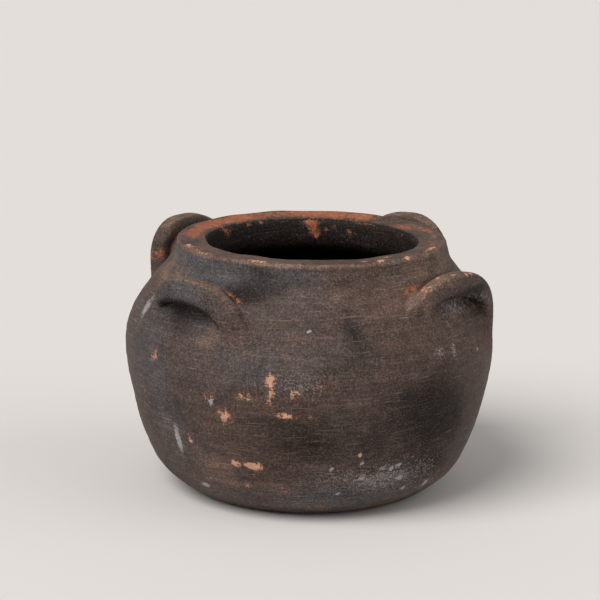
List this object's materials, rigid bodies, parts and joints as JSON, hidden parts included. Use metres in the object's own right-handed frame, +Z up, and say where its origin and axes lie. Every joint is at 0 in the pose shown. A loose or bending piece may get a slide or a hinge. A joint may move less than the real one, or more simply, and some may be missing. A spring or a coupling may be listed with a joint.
{
  "type": "clay cooking pot",
  "caption": "Squat hand-built clay pot with a short neck, a broad flat lip round a wide mouth, ear-shaped lugs on the shoulder and a flat foot.",
  "frame": {"origin": "centre of the foot's resting face, on the pot's axis", "axes": "+Z up along the pot's axis of turning; -Y towards the front, +X to the right as seen from the front"},
  "size_m": [0.2824, 0.2824, 0.194],
  "materials": {
    "burnished_clay": "smoke-blackened clay, burnished to a low satin sheen, with scuffs that show orange clay",
    "lug_clay": "smoke-blackened clay, wiped smooth over the crest and left rough under the arch",
    "worn_lip_clay": "smoke-blackened clay rubbed through to orange clay on top of the lip"
  },
  "bodies": {
    "root": {"foot_disc": "burnished_clay", "lower_wall": "burnished_clay", "belly_wall": "burnished_clay", "shoulder_wall": "burnished_clay", "neck_collar": "burnished_clay", "lip_ring": "worn_lip_clay", "lug_front_left": "lug_clay", "lug_front_right": "lug_clay", "lug_back_left": "lug_clay", "lug_back_right": "lug_clay"}
  },
  "joints": []
}
